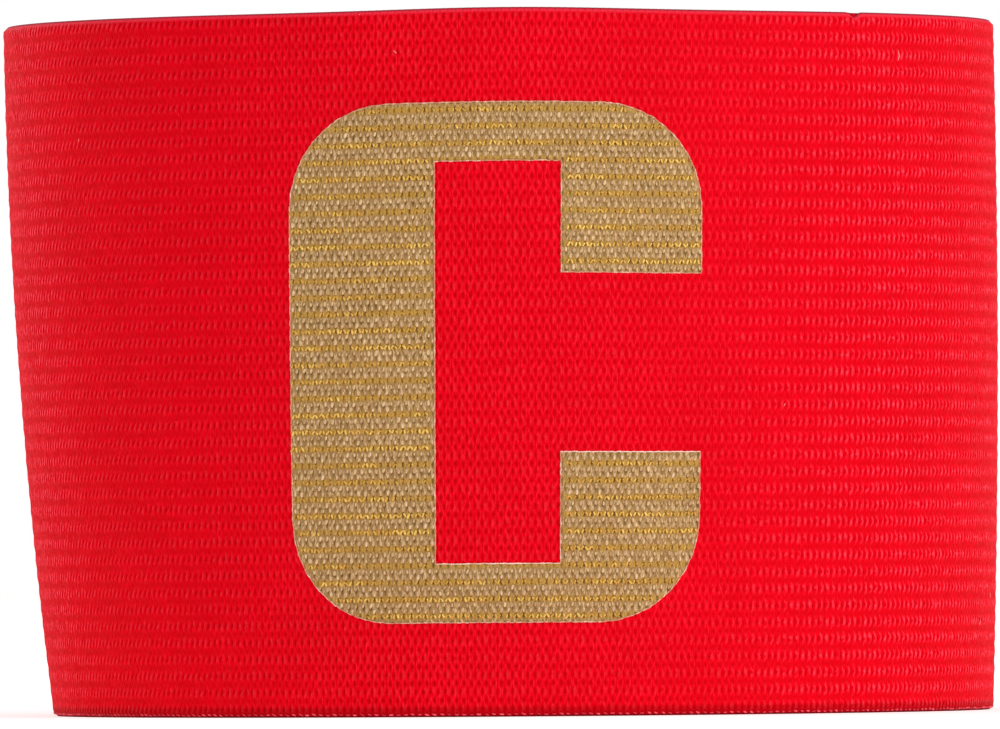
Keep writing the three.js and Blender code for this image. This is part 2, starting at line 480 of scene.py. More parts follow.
@dataclass(frozen=True)
class Weave:
    """The cloth's own build: rubber threads along it as ribs, covered by short floats of yarn, in metres."""

    ribs: int = 42
    rib_depth: float = 0.00006
    ground_sink: float = 0.00042
    edge_fall: float = 0.0004
    edge_reach: float = 0.0006
    column: float = 0.00081
    swing: float = 0.00012
    gap: float = 0.0003
    meeting: float = 0.00001
    valley: float = 0.35
    even_reach: tuple[float, float] = (0.013, 0.039)
    stray: float = 0.00014
    bulge: float = 0.0001
    lean: float = 0.00018
    bow: float = 0.0001
    rows_to_rib: int = 4
    lines_to_strand: int = 3

    @property
    def strand(self) -> float:
        """The distance from strand to strand, two of which pass each column's gap."""
        return self.column / 2

    def pitch(self, loop: Loop) -> float:
        """The distance from rib to rib."""
        return loop.width / self.ribs

    def net_sizes(self, loop: Loop) -> dict[str, float]:
        """The sizes of the net by the names of their tree's inputs."""
        return {"Strand": self.strand, "Row": self.pitch(loop) / 2, "Swing": self.swing, "Gap": self.gap,
                "Meeting": self.meeting, "Valley": self.valley, "Stray": self.stray, "Bulge": self.bulge,
                "Even From": self.even_reach[0], "Even To": self.even_reach[1], "Lean": self.lean,
                "Bow": self.bow}

    def lay(self, flat: np.ndarray, loop: Loop) -> np.ndarray:
        """Lets flat yarn sink into the valleys between the ribs and roll over the selvedges.

        Args:
            flat: Rows of (along, up, proud).
            loop: The tube, for the strip's width.

        Returns:
            The same rows, lowered between the ribs and near the edges.
        """
        laid = flat.copy()
        up = flat[:, 1]
        laid[:, 2] -= self.rib_depth * (1 + np.cos(2 * math.pi * up / self.pitch(loop))) / 2
        over = np.clip(1 - np.minimum(up, loop.width - up) / self.edge_reach, 0, 1)
        laid[:, 2] -= self.edge_fall * (1 - np.sqrt(1 - over ** 2))
        return laid

    def strand_at(self, along: float) -> int:
        """The number of the strand nearest to a place along the strip."""
        return round(along / self.strand)

    def sheet(self, loop: Loop, strands: tuple[int, int], heights: tuple[float, float],
              keep: Callable[[np.ndarray, np.ndarray], np.ndarray],
              snap: Callable[[np.ndarray], np.ndarray]) -> bpy.types.Mesh:
        """Makes the flat sheet of fine cells that the net of strands is raised from.

        Args:
            loop: The tube, for the strip's width.
            strands: The numbers of the strands where the sheet starts and ends.
            heights: Its lowest and highest height.
            keep: Tells which cells there are, from the places of their middles along the strip and up it.
            snap: Moves points between kept and other cells on to their line, from rows of (along, up).

        Returns:
            The sheet.
        """
        across = self.strand / self.lines_to_strand
        rise = self.pitch(loop) / self.rows_to_rib
        lines = np.arange(strands[0] * self.lines_to_strand, strands[1] * self.lines_to_strand + 1)
        rows = np.arange(math.ceil(heights[0] / rise), math.floor(heights[1] / rise) + 1)
        along, up = np.meshgrid(lines * across, rows * rise, indexing="ij")
        number = np.arange(along.size).reshape(along.shape)
        corners = np.stack([number[:-1, :-1], number[1:, :-1], number[1:, 1:], number[:-1, 1:]], axis=-1)
        kept = keep(along[:-1, :-1] + across / 2, up[:-1, :-1] + rise / 2)
        wide = np.pad(kept, 1, mode="edge").astype(int)
        beside = wide[:-1, :-1] + wide[1:, :-1] + wide[1:, 1:] + wide[:-1, 1:]
        edge = ((beside > 0) & (beside < 4)).ravel()
        used, cells = np.unique(corners[kept], return_inverse=True)
        flat = np.column_stack([along.ravel(), up.ravel(), 0 * up.ravel()])
        flat[edge, :2] = snap(flat[edge, :2])
        return carrier(flat[used], faces=cells.reshape(-1, 4).tolist())


class Panel(Enum):
    """The stretches that are covered one by one: start and end in degrees, and rows of cells to a rib."""

    BACK_LEFT = (-180.0, -108.0, 2)
    LEFT = (-108.0, -36.0, 4)
    FRONT = (-36.0, 36.0, 4)
    RIGHT = (36.0, 108.0, 4)
    BACK_RIGHT = (108.0, 190.0, 2)


@dataclass(frozen=True)
class Bars:
    """One kind of short bar of yarn: its size in metres, its mesh, and how far one differs from the next."""

    width: float
    length: float
    thickness: float
    seed: int
    lean_spread: float = math.radians(12)
    size_spread: float = 0.2
    place_spread: float = 0.00004
    sides: int = 5
    rings: int = 3

    def inputs(self) -> dict[str, float]:
        """The sizes by the names of their tree's inputs."""
        return {label.replace("_", " ").title(): value for label, value in asdict(self).items()}


@dataclass
class Cloth:
    """What every woven piece shares: the tube, the weave, the trees and the way on to the tube."""

    loop: Loop
    weave: Weave = field(default_factory=Weave)
    made: list[bpy.types.Object] = field(default_factory=list)

    def __post_init__(self) -> None:
        """Builds the trees once."""
        self.net = net_tree()
        self.bars = bar_tree()
        self.strip = strip_tree()

    def dress(self, mesh: bpy.types.Mesh, slot: str, laid: bool = True) -> bpy.types.Object:
        """Lays a flat mesh on the ribs, wraps it round the tube and makes it a piece of the armband.

        Args:
            mesh: The flat mesh.
            slot: The record's material slot; it is not used.
            laid: Whether it follows the ribs.

        Returns:
            The piece, riding on the armband's body.
        """
        flat = np.empty(len(mesh.vertices) * 3, np.float32)
        mesh.vertices.foreach_get("co", flat)
        flat = flat.reshape(-1, 3).astype(float)
        mesh.attributes.new("weave", "FLOAT_VECTOR", "POINT").data.foreach_set("vector", (flat / MM).ravel())
        placed = self.loop.wrap(self.weave.lay(flat, self.loop) if laid else flat)
        mesh.vertices.foreach_set("co", placed.ravel())
        for name in ("lean", "bar_size", "shade"):
            if name in mesh.attributes:
                mesh.attributes.remove(mesh.attributes[name])
        mesh.update()
        piece = bpy.data.objects.new(mesh.name, mesh)
        bpy.context.scene.collection.objects.link(piece)
        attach(piece, BODY)
        self.made.append(piece)
        log.info("%s: %d faces", piece.name, len(mesh.polygons))
        return piece

    def raise_net(self, name: str, slot: str, sheet: bpy.types.Mesh, yarn: bpy.types.Material,
                  proud: float = 0.0) -> None:
        """Raises a flat sheet into a net of strands and dresses it.

        Args:
            name: The piece's name.
            slot: The record's material slot, handed on to dress.
            sheet: The sheet of fine cells.
            yarn: The strands' material.
            proud: How far the net stands above the rib crests.
        """
        mesh = grow(name, sheet, self.net, {**self.weave.net_sizes(self.loop), "Yarn": yarn})
        mesh.transform(Matrix.Translation((0, 0, proud)))
        self.dress(mesh, slot)

    def lay_bars(self, name: str, slot: str, places: np.ndarray, bars: Bars, yarn: "YarnFinish",
                 laid: bool = True, **attributes: np.ndarray) -> None:
        """Lays a bar of yarn on each place and dresses them all as one piece.

        Args:
            name: The piece's name.
            slot: The record's material slot, handed on to dress.
            places: Rows of (along, up, proud).
            bars: What the bars are like.
            yarn: Their finish.
            laid: Whether they follow the ribs.
            attributes: Each bar's lean in radians, and where they differ its shade and its bar_size.
        """
        attributes.setdefault("bar_size", np.ones_like(places))
        inputs = {**bars.inputs(), "Yarn": yarn.material(self)}
        mesh = grow(name, carrier(places, **attributes), self.bars, inputs)
        self.dress(mesh, slot, laid)


@dataclass(frozen=True)
class Spot:
    """Where a spot of the surface lies in the weave, as outputs in a material's tree, in millimetres.

    flat is the place on the flat cloth, and along, up and proud are its parts. upright is the place along
    the strip without the strands' lean and bow. rib is minus 1 on the crests and 1 in the valleys, and valley
    is 0 and 1 there. side is 0 in front and 1 half-way round. right is 1 where the strands bow at the right.
    """

    node: AddNode
    flat: bpy.types.NodeSocket
    along: bpy.types.NodeSocket
    up: bpy.types.NodeSocket
    proud: bpy.types.NodeSocket
    upright: bpy.types.Node
    rib: bpy.types.Node
    valley: bpy.types.Node
    side: bpy.types.Node
    right: bpy.types.Node
    column_mm: float
    rib_mm: float
    swing_mm: float

    @classmethod
    def find(cls, node: AddNode, cloth: Cloth) -> "Spot":
        """Reads the place on the flat cloth and works out what the finishes follow.

        Args:
            node: Adds a node to the material's tree.
            cloth: The cloth, whose net of yarn the finishes follow.

        Returns:
            The spot.
        """
        weave = cloth.weave
        rib_mm = weave.pitch(cloth.loop) / MM
        flat = node("ShaderNodeAttribute", attribute_name="weave").outputs["Vector"]
        along, up, proud = node("ShaderNodeSeparateXYZ", (flat,)).outputs
        turn = node(MATH, (up, 2 * math.pi / rib_mm), operation="MULTIPLY")
        rib = node(MATH, (turn,), operation="COSINE")
        left = node(SHARE, (along, *(place / MM for place in LEAN_REACH)))
        right = node(SHARE, (along, *(place / MM for place in BOW_REACH)))
        leaning = node(MATH, (node(MATH, (turn,), operation="SINE"), left), operation="MULTIPLY")
        bowing = node(MATH, (rib, right), operation="MULTIPLY")
        straight = node(MATH, (leaning, weave.lean / MM, along), operation="MULTIPLY_ADD")
        upright = node(MATH, (bowing, weave.bow / MM, straight), operation="MULTIPLY_ADD")
        aside = node(MATH, (along,), operation="ABSOLUTE")
        side = node(SHARE, (aside, *(place / MM for place in weave.even_reach)))
        valley = node(SHARE, (rib, -0.2, 1.0))
        return cls(node, flat, along, up, proud, upright, rib, valley, side, right, weave.column / MM, rib_mm,
                   weave.swing / MM)


@dataclass(frozen=True)
class YarnFinish:
    """Texturised polyester yarn: many fine filaments that crimp and catch the light one by one.

    Its colours are painted shade in the net's gaps, the dark, middle and pale tones of its filaments, a
    painted highlight where two strands meet, and a darker colour between the ribs. A mix is how much of a
    colour there is in front and half-way round, or in front and at the limbs. An edge or a noise is the range
    in which a pattern sets in. bands paint light and shade along the edges, each with a height in millimetres
    and a strength.
    """

    name: str
    gap: str
    shade: str
    base: str
    light: str
    fleck: str
    valley: str = ""
    valley_mix: tuple[float, float] = (1.0, 1.0)
    valley_least: float = 0.45
    valley_runs: float = 0.22
    valley_noise: tuple[float, float] = (0.35, 0.6)
    bands: tuple[tuple[float, str, float], ...] = ()
    roughness: float = 0.6
    metallic: float = 0.0
    specular: float = 0.02
    # The highlight fields shape the painted highlights where two strands meet, and the specular level there
    fleck_specular: float = 0.1
    fleck_mix: tuple[float, float] = (0.5, 0.5)
    fleck_crimp: tuple[float, float, float] = (2.2, 1.5, 1.0)
    fleck_noise: tuple[float, float] = (0.35, 0.62)
    fleck_least: float = 0.15
    fleck_edge: tuple[float, float] = (1.1, 0.3)
    fleck_width: float = 0.18
    fleck_height: float = 0.28
    fleck_stray_mm: float = 0.35
    limb_mm: tuple[float, float] = (-54.0, -66.0)
    sheen: float = 0.04
    sheen_tint: str = "#FF5078"
    sheen_roughness: float = 0.3
    filament_mm: float = 0.16
    streak_mm: float = 0.8
    streak_gain: float = 1.0
    patch_mm: float = 9.0
    patch_spread: float = 0.15
    tone_spread: float = 0.12
    tone_places: tuple[float, float, float] = (0.25, 0.52, 0.8)
    gap_mm: tuple[float, float] = (-0.08, -0.32)
    gap_edge: tuple[float, float] = (0.15, 0.8)
    oval: float = 0.75
    oval_least: float = 0.85
    # How large the patches are in which the painted shade in the gaps is stronger or weaker
    slack_mm: float = 7.0
    slack_noise: tuple[float, float] = (0.42, 0.6)
    ridge_mix: float = 0.0
    ridge_edge: tuple[float, float] = (0.3, -0.9)
    ridge_noise: tuple[float, float] = (0.47, 0.62)
    bump: float = 0.3

    def tones(self, spot: Spot, streaks: bpy.types.Node) -> bpy.types.NodeSocket:
        """Builds the yarn's own colour, which changes from bar to bar, along a filament and over the cloth,
        and is darker between the ribs where a valley colour is given.

        Args:
            spot: The place in the weave.
            streaks: The fine noise along the filaments.

        Returns:
            The colour's output.
        """
        node = spot.node
        tone = node("ShaderNodeAttribute", attribute_name="tone").outputs["Fac"]
        patches = node(NOISE, {"Vector": spot.flat, "Scale": 1 / self.patch_mm, "Detail": 1.0})
        bar = node(SHARE, (tone, 0.0, 1.0, -self.tone_spread, self.tone_spread))
        slow = node(SHARE, (patches, 0.0, 1.0, -self.patch_spread, self.patch_spread))
        both = node(MATH, (bar, slow), operation="ADD")
        ramp = node("ShaderNodeValToRGB", (node(MATH, (both, streaks), operation="ADD"),))
        colours = [linear(colour) for colour in (self.shade, self.base, self.light)]
        set_stops(ramp, list(zip(self.tone_places, colours)))
        if not self.valley:
            return ramp.outputs[0]
        # Between the ribs the red yarn gets painted shade, none in front and more half-way round, and the
        # letter's beige turns gold-brown; both come and go along the strip
        run = node(VECTOR, (spot.flat, (self.valley_runs, 1 / spot.rib_mm, 0.0)), operation="MULTIPLY")
        uneven = node(NOISE, {"Vector": run, "Scale": 1.0, "Detail": 2.0})
        kept = node(SHARE, (uneven, *self.valley_noise, self.valley_least))
        valley_tint_and_shade = node(MATH, (spot.valley, kept), operation="MULTIPLY")
        amount = node(SHARE, (spot.side, 0.0, 1.0, *self.valley_mix))
        line = node(MATH, (valley_tint_and_shade, amount), operation="MULTIPLY")
        return node(MIX, {0: line, 6: ramp, 7: linear(self.valley)}, data_type="RGBA").outputs[2]

    def gaps(self, spot: Spot) -> bpy.types.Node:
        """Draws the painted shade in the net's gaps: an oval between each two meetings of strands, and all
        that lies deep.

        Args:
            spot: The place in the weave.

        Returns:
            A node that gives 1 in the gaps and 0 beside them.
        """
        node = spot.node
        turn = node(MATH, (spot.upright, 2 * math.pi / spot.column_mm), operation="MULTIPLY")
        across = node(MATH, (turn,), operation="COSINE")
        crossed = node(MATH, (across, spot.rib), operation="MULTIPLY")
        lattice = node(SHARE, (crossed, *self.gap_edge))
        # Half-way round, the gaps in the valleys close and only those on the crests stay open
        shut = node(MATH, (spot.side, spot.valley), operation="MULTIPLY")
        opened = node(MATH, (lattice, node(MATH, (1.0, shut), operation="SUBTRACT")), operation="MULTIPLY")
        # The painted shade in the gaps is stronger in some patches than in others
        slow = node(NOISE, {"Vector": spot.flat, "Scale": 1 / self.slack_mm, "Detail": 1.0})
        gap_shade_strength = node(SHARE, (slow, *self.slack_noise, self.oval_least * self.oval, self.oval))
        ovals = node(MATH, (opened, gap_shade_strength), operation="MULTIPLY")
        return node(MATH, (ovals, node(SHARE, (spot.proud, *self.gap_mm))), operation="MAXIMUM")

    def flecks(self, spot: Spot) -> bpy.types.Node:
        """Draws the painted highlights: one pale stroke to each column on every rib, where two strands meet,
        each a little off.

        Args:
            spot: The place in the weave.

        Returns:
            A node that gives 1 in the strongest strokes and 0 beside them.
        """
        node = spot.node
        place = node("ShaderNodeCombineXYZ", (spot.upright, spot.up))
        crimp = node(VECTOR, (place, self.fleck_crimp), operation="MULTIPLY")
        stray = node(NOISE, {"Vector": crimp, "Scale": 1.0, "Detail": 1.0})
        shift = node(VECTOR, (stray.outputs["Color"], (0.5, 0.5, 0.5)), operation="SUBTRACT")
        strayed = node(VECTOR, (shift, (self.fleck_stray_mm * 2,) * 3, place), operation="MULTIPLY_ADD")
        cells = (1 / spot.column_mm, 1 / spot.rib_mm, 0.0)
        shares = node(VECTOR, (strayed, cells, (0.5, 0.0, 0.0)), operation="MULTIPLY_ADD")
        cell = node(VECTOR, (shares,), operation="FRACTION")
        middle = node(VECTOR, (cell, (0.5, 0.5, 0.0)), operation="SUBTRACT")
        stretch = (1 / self.fleck_width, 1 / self.fleck_height, 0.0)
        stroke = node(VECTOR, (middle, stretch), operation="MULTIPLY")
        reach = node(VECTOR, (stroke,), operation="LENGTH").outputs["Value"]
        strength = node(SHARE, (stray, *self.fleck_noise, self.fleck_least))
        return node(MATH, (node(SHARE, (reach, *self.fleck_edge)), strength), operation="MULTIPLY")

    def ridges(self, spot: Spot, noise: bpy.types.Node) -> bpy.types.Node:
        """Draws a painted highlight along the ridge of each single strand in front, broken where its filaments
        turn away.

        Args:
            spot: The place in the weave.
            noise: The fine noise along the filaments.

        Returns:
            A node that gives the ridges' share of the pale highlight colour.
        """
        node = spot.node
        turns = 2 * math.pi / spot.column_mm
        column = node(MATH, (node(MATH, (spot.upright, turns), operation="MULTIPLY"),), operation="SINE")
        turned = node(MATH, (spot.rib, node(MATH, (column,), operation="SIGN")), operation="MULTIPLY")
        centred = node(MATH, (turned, -spot.swing_mm, spot.upright), operation="MULTIPLY_ADD")
        strand = node(MATH, (node(MATH, (centred, 2 * turns), operation="MULTIPLY"),), operation="COSINE")
        pale = node(SHARE, (strand, *self.ridge_edge))
        ridge = node(MATH, (pale, node(SHARE, (noise, *self.ridge_noise))), operation="MULTIPLY")
        amount = node(SHARE, (spot.side, 0.0, 1.0, self.ridge_mix, 0.0))
        return node(MATH, (ridge, amount), operation="MULTIPLY")

    def selvedge_tint(self, spot: Spot, colour: bpy.types.NodeSocket) -> bpy.types.NodeSocket:
        """Paints bands of light and shade on the yarn near the strip's two edges.

        Args:
            spot: The place in the weave.
            colour: The yarn's colour.

        Returns:
            The tinted colour's output.
        """
        node = spot.node
        top = self.bands[-1][0]
        height = node(MATH, (spot.up, top), operation="DIVIDE")
        ramp = set_stops(node("ShaderNodeValToRGB", (height,)), [
            (up / top, (*linear(shade)[:3], strength)) for up, shade, strength in self.bands])
        return node(MIX, {0: ramp.outputs["Alpha"], 6: colour, 7: ramp}, data_type="RGBA").outputs[2]

    def material(self, cloth: Cloth) -> bpy.types.Material:
        """Builds the yarn's material.

        Args:
            cloth: The cloth, whose net of yarn the pattern follows.

        Returns:
            A material with painted shade in the net's gaps and painted highlights where two strands meet on a
            crest.
        """
        material, shader = start_material(self.name)
        node = partial(add_node, material.node_tree)
        spot = Spot.find(node, cloth)
        stretch = (1 / self.filament_mm, 1 / self.streak_mm, 1 / self.filament_mm)
        fine = node(VECTOR, (spot.flat, stretch), operation="MULTIPLY")
        noise = node(NOISE, {"Vector": fine, "Scale": 1.0, "Detail": 2.0})
        streaks = node(SHARE, (noise, 0.5 - 0.5 / self.streak_gain, 0.5 + 0.5 / self.streak_gain))
        highlight_spots = self.flecks(spot)
        # The painted highlights grow stronger at the right and at the left limb, where the light rakes across
        # the yarn
        limb = node(MATH, (spot.right, node(SHARE, (spot.along, *self.limb_mm))), operation="MAXIMUM")
        strokes = node(MATH, (highlight_spots, node(SHARE, (limb, 0.0, 1.0, *self.fleck_mix))), operation="MULTIPLY")
        # Painted highlights along the ridge of each strand in front
        if self.ridge_mix:
            strokes = node(MATH, (strokes, self.ridges(spot, noise)), operation="MAXIMUM")
        tones = self.tones(spot, streaks)
        lit = node(MIX, {0: strokes, 6: tones, 7: linear(self.fleck)}, data_type="RGBA").outputs[2]
        gaps = self.gaps(spot)
        # Painted shade: the gap colour darkens the net's gaps and what lies deep
        colour = node(MIX, {0: gaps, 6: lit, 7: linear(self.gap)}, data_type="RGBA").outputs[2]
        if self.bands:
            colour = self.selvedge_tint(spot, colour)
        # The specular level rises on the painted highlights, so they also catch real light
        gloss = self.specular
        if self.fleck_specular != self.specular:
            gloss = node(SHARE, (highlight_spots, 0.0, 1.0, self.specular, self.fleck_specular))
        relief = {"Height": streaks, "Strength": self.bump, "Distance": self.filament_mm * MM}
        feed(shader, {
            "Base Color": colour, "Normal": node("ShaderNodeBump", relief), "Roughness": self.roughness,
            "Metallic": self.metallic, "Sheen Weight": self.sheen, "Sheen Roughness": self.sheen_roughness,
            "Sheen Tint": linear(self.sheen_tint), "Specular IOR Level": gloss})
        return material


@dataclass(frozen=True)
class GroundFinish:
    """The covered rubber threads under the yarn: tightly wound polyester, matt, with painted shade in the
    gaps.
    """

    name: str
    gap: str
    cover: str
    roughness: float = 0.85
    specular: float = 0.06
    bump: float = 0.6
    relief_mm: float = 0.15
    net_edge: tuple[float, float] = (0.55, 0.95)

    def material(self, cloth: Cloth) -> bpy.types.Material:
        """Builds the ground's material.

        Args:
            cloth: The cloth, whose net of yarn the pattern follows.

        Returns:
            A material with the net's lines raised, and its gaps sunk and darkened with painted shade.
        """
        material, shader = start_material(self.name)
        node = partial(add_node, material.node_tree)
        place = node("ShaderNodeAttribute", attribute_name="weave").outputs["Vector"]
        along, up, _ = node("ShaderNodeSeparateXYZ", (place,)).outputs
        across = node(MATH, (along, math.pi * MM / cloth.weave.column), operation="MULTIPLY")
        risen = node(MATH, (up, math.pi * MM / cloth.weave.pitch(cloth.loop)), operation="MULTIPLY")
        lines = []
        for operation in ("ADD", "SUBTRACT"):
            wave = node(MATH, (node(MATH, (across, risen), operation=operation),), operation="COSINE")
            lines.append(node(MATH, (wave,), operation="ABSOLUTE"))
        net = node(SHARE, (node(MATH, lines, operation="MAXIMUM"), *self.net_edge))
        ramp = node("ShaderNodeValToRGB", (net,))
        # Painted shade: the gap colour darkens the sunk gaps between the net's lines
        colour = set_stops(ramp, [(0.0, linear(self.gap)), (1.0, linear(self.cover))])
        relief = {"Height": net, "Strength": self.bump, "Distance": self.relief_mm * MM}
        feed(shader, {"Base Color": colour, "Normal": node("ShaderNodeBump", relief),
                      "Roughness": self.roughness, "Specular IOR Level": self.specular})
        return material


@dataclass
class ElasticBand:
    """The strip itself: its ribbed ground with rounded selvedges, and the net of yarn on its face."""

    cloth: Cloth
    steps: int = 130
    outer_points: int = 3
    inner_points: int = 2
    inner_rib_depth: float = 0.00012
    selvedge: float = 0.0006
    selvedge_points: int = 5
    sharp_angle: float = math.radians(50)
    # On the red yarn the dark bands at the foot and at the very top edge are painted shade, and the pale band
    # just below the top is a painted highlight
    red_yarn: YarnFinish = YarnFinish(
        "texturised_polyester_red", gap="#D0000A", shade="#DC0014", base="#EC001A", light="#FA0624",
        fleck="#FF4058", valley="#D0000C", valley_mix=(0.0, 0.5), valley_least=0.15,
        fleck_mix=(0.18, 0.95), fleck_width=0.24, fleck_height=0.42, ridge_mix=0.17, sheen=0.01,
        streak_gain=1.3, roughness=0.5, bands=(
            (0.0, "#500010", 1.0), (0.12, "#600014", 1.0), (0.26, "#A8000C", 0.9), (0.9, "#B8000C", 0.7),
            (1.3, "#C8000C", 0.0), (74.5, "#FF2840", 0.0), (74.62, "#FF3448", 0.8), (74.86, "#FF4458", 0.8),
            (74.93, "#902030", 1.0), (75.0, "#802030", 1.0)))
    red_ground: GroundFinish = GroundFinish("covered_rubber_red", "#A00008", "#D80016")

    def section(self) -> np.ndarray:
        """Draws the strip's section as a closed line: ribbed outside and in, with rounded selvedges.

        Returns:
            Rows of (up, proud), from the foot up the outer face and down the inner one.
        """
        loop, weave = self.cloth.loop, self.cloth.weave
        pitch = weave.pitch(loop)
        low, high = self.selvedge, loop.width - self.selvedge
        outer = np.linspace(low, high, weave.ribs * self.outer_points + 1)
        inner = np.linspace(high, low, weave.ribs * self.inner_points + 1)
        face = weave.lay(np.column_stack([outer, outer, outer * 0 - weave.ground_sink]), loop)[:, 2]
        back = self.inner_rib_depth * (1 + np.cos(2 * math.pi * inner / pitch)) / 2 - loop.wall
        middle = (face[0] + back[-1]) / 2
        thick = (face[0] - back[-1]) / 2
        turn = np.linspace(0, math.pi, self.selvedge_points + 2)[1:-1]
        over = np.column_stack([high + self.selvedge * np.sin(turn), middle + thick * np.cos(turn)])
        under = np.column_stack([low - self.selvedge * np.sin(turn), middle - thick * np.cos(turn)])
        return np.vstack([np.column_stack([outer, face]), over, np.column_stack([inner, back]), under])

    def ground(self) -> bpy.types.Object:
        """Returns:
            The piece that stands for the elastic band's solid.
        """
        loop = self.cloth.loop
        section = self.section()
        # The sweep lays a section's axes over, so both are turned round first
        points = np.column_stack([-section, section[:, 0] * 0])
        ring = [(k, (k + 1) % len(points)) for k in range(len(points))]
        mesh = grow("band_ground", carrier(points, ring), self.cloth.strip, {
            "Start": loop.ends[0], "End": loop.ends[1], "Steps": self.steps,
            "Yarn": self.red_ground.material(self.cloth)})
        mesh.set_sharp_from_angle(angle=self.sharp_angle)
        return self.cloth.dress(mesh, ELASTIC_SLOT, laid=False)

    def face(self, letter: "Letter") -> None:
        """Covers the ground with its net of yarn, apart from where the letter is.

        Args:
            letter: The letter, which has yarn of its own.
        """
        loop, weave = self.cloth.loop, self.cloth.weave
        yarn = self.red_yarn.material(self.cloth)
        bounds = (loop.ends[0] + loop.lap, loop.ends[1])
        for panel in Panel:
            *angles, rows = panel.value
            ends = [min(max(math.radians(angle) * loop.radius, bounds[0]), bounds[1]) for angle in angles]
            sheet = replace(weave, rows_to_rib=rows).sheet(
                loop, (weave.strand_at(ends[0]), weave.strand_at(ends[1])), (0, loop.width),
                lambda along, up: ~letter.covers(along, up), letter.snap)
            self.cloth.raise_net(f"weave_{panel.name.lower()}", ELASTIC_SLOT, sheet, yarn)


